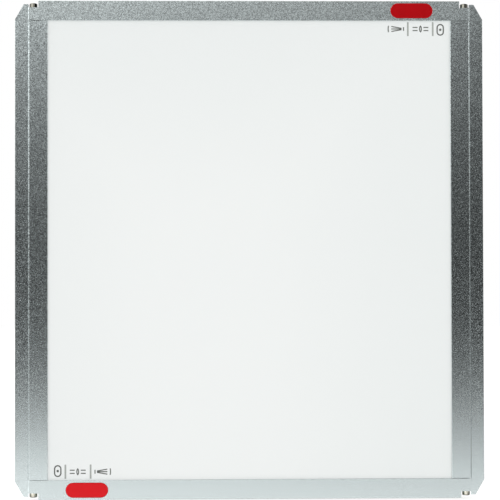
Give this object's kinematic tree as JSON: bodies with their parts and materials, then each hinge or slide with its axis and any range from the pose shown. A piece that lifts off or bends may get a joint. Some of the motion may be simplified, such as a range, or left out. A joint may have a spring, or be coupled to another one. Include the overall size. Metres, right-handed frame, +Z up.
{
  "type": "light lens frame",
  "caption": "Flat slide-in aluminium frame holding a translucent beam-spreading sheet, with side tongues that run in a light's accessory slots.",
  "frame": {"origin": "middle of the frame's bottom edge, half way through its depth", "axes": "+Z up along the side rails, -Y is the front face with the colour marks, +X to the right seen from the front"},
  "size_m": [0.3288, 0.008, 0.3486],
  "materials": {
    "side_rail_metal": "satin bead-blasted and anodised",
    "cross_rail_metal": "satin bead-blasted and anodised, a little duller",
    "screw_steel": "bright stainless, smooth-sided head",
    "opal_sheet": "opal white, satin in front and lens-textured behind",
    "red_marker": "smooth metallic red",
    "gasket_foam": "fine-celled dark grey silicone foam"
  },
  "bodies": {
    "root": {"top_rail": "cross_rail_metal", "bottom_rail": "cross_rail_metal", "left_side_rail": "side_rail_metal", "right_side_rail": "side_rail_metal", "corner_screw_top_left": "screw_steel", "corner_screw_top_right": "screw_steel", "corner_screw_bottom_left": "screw_steel", "corner_screw_bottom_right": "screw_steel", "lens_sheet": "opal_sheet", "marker_top": "red_marker", "marker_bottom": "red_marker", "gasket_top": "gasket_foam", "gasket_bottom": "gasket_foam", "gasket_left": "gasket_foam", "gasket_right": "gasket_foam"}
  },
  "joints": []
}
